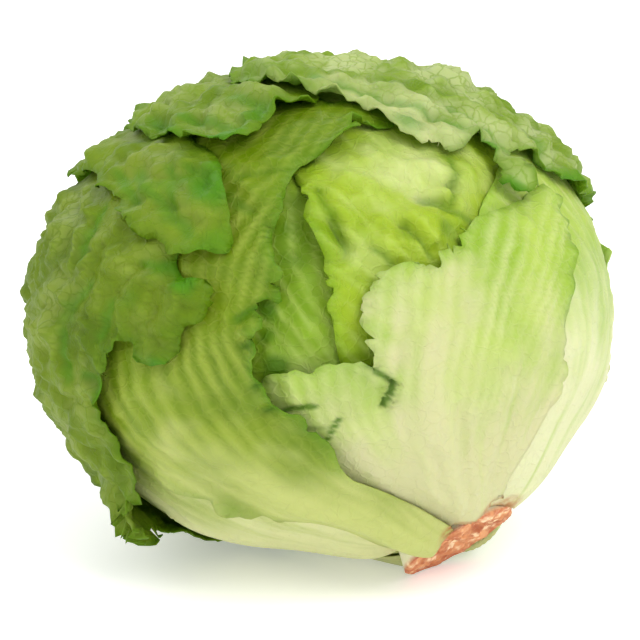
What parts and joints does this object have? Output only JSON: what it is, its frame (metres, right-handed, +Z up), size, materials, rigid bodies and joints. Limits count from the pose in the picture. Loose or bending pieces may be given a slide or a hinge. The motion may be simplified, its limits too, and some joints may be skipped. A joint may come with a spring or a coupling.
{
  "type": "head of lettuce",
  "caption": "Dense round head of crisphead lettuce with wrapped, ruffled leaves and a cut stem, lying on its side.",
  "frame": {"origin": "the middle of the flat spot that the head rests on, straight below the middle of the head", "axes": "+Z up, -Y towards the viewer of the picture's side, +X to that viewer's right; the cut stem points down, to +X and to -Y"},
  "size_m": [0.1746, 0.166, 0.1459],
  "materials": {
    "cut_stem": "rough, drying cut",
    "heart_leaf": "moist leaf",
    "pale_leaf": "smooth leaf, thick cream ribs",
    "bright_leaf": "smooth veined leaf",
    "outer_leaf": "blistered leaf with a waxy bloom",
    "top_leaf": "blistered leaf with a waxy bloom"
  },
  "bodies": {
    "root": {"stem": "cut_stem", "heart": "heart_leaf", "leaf_inner_left": "pale_leaf", "leaf_inner_front": "bright_leaf", "leaf_inner_right": "pale_leaf", "leaf_underside": "pale_leaf", "leaf_front_rib": "pale_leaf", "leaf_front_left": "bright_leaf", "leaf_back_right": "pale_leaf", "leaf_outer_left": "outer_leaf", "leaf_shoulder": "outer_leaf", "leaf_top_left": "top_leaf", "leaf_top_right": "top_leaf"}
  },
  "joints": []
}
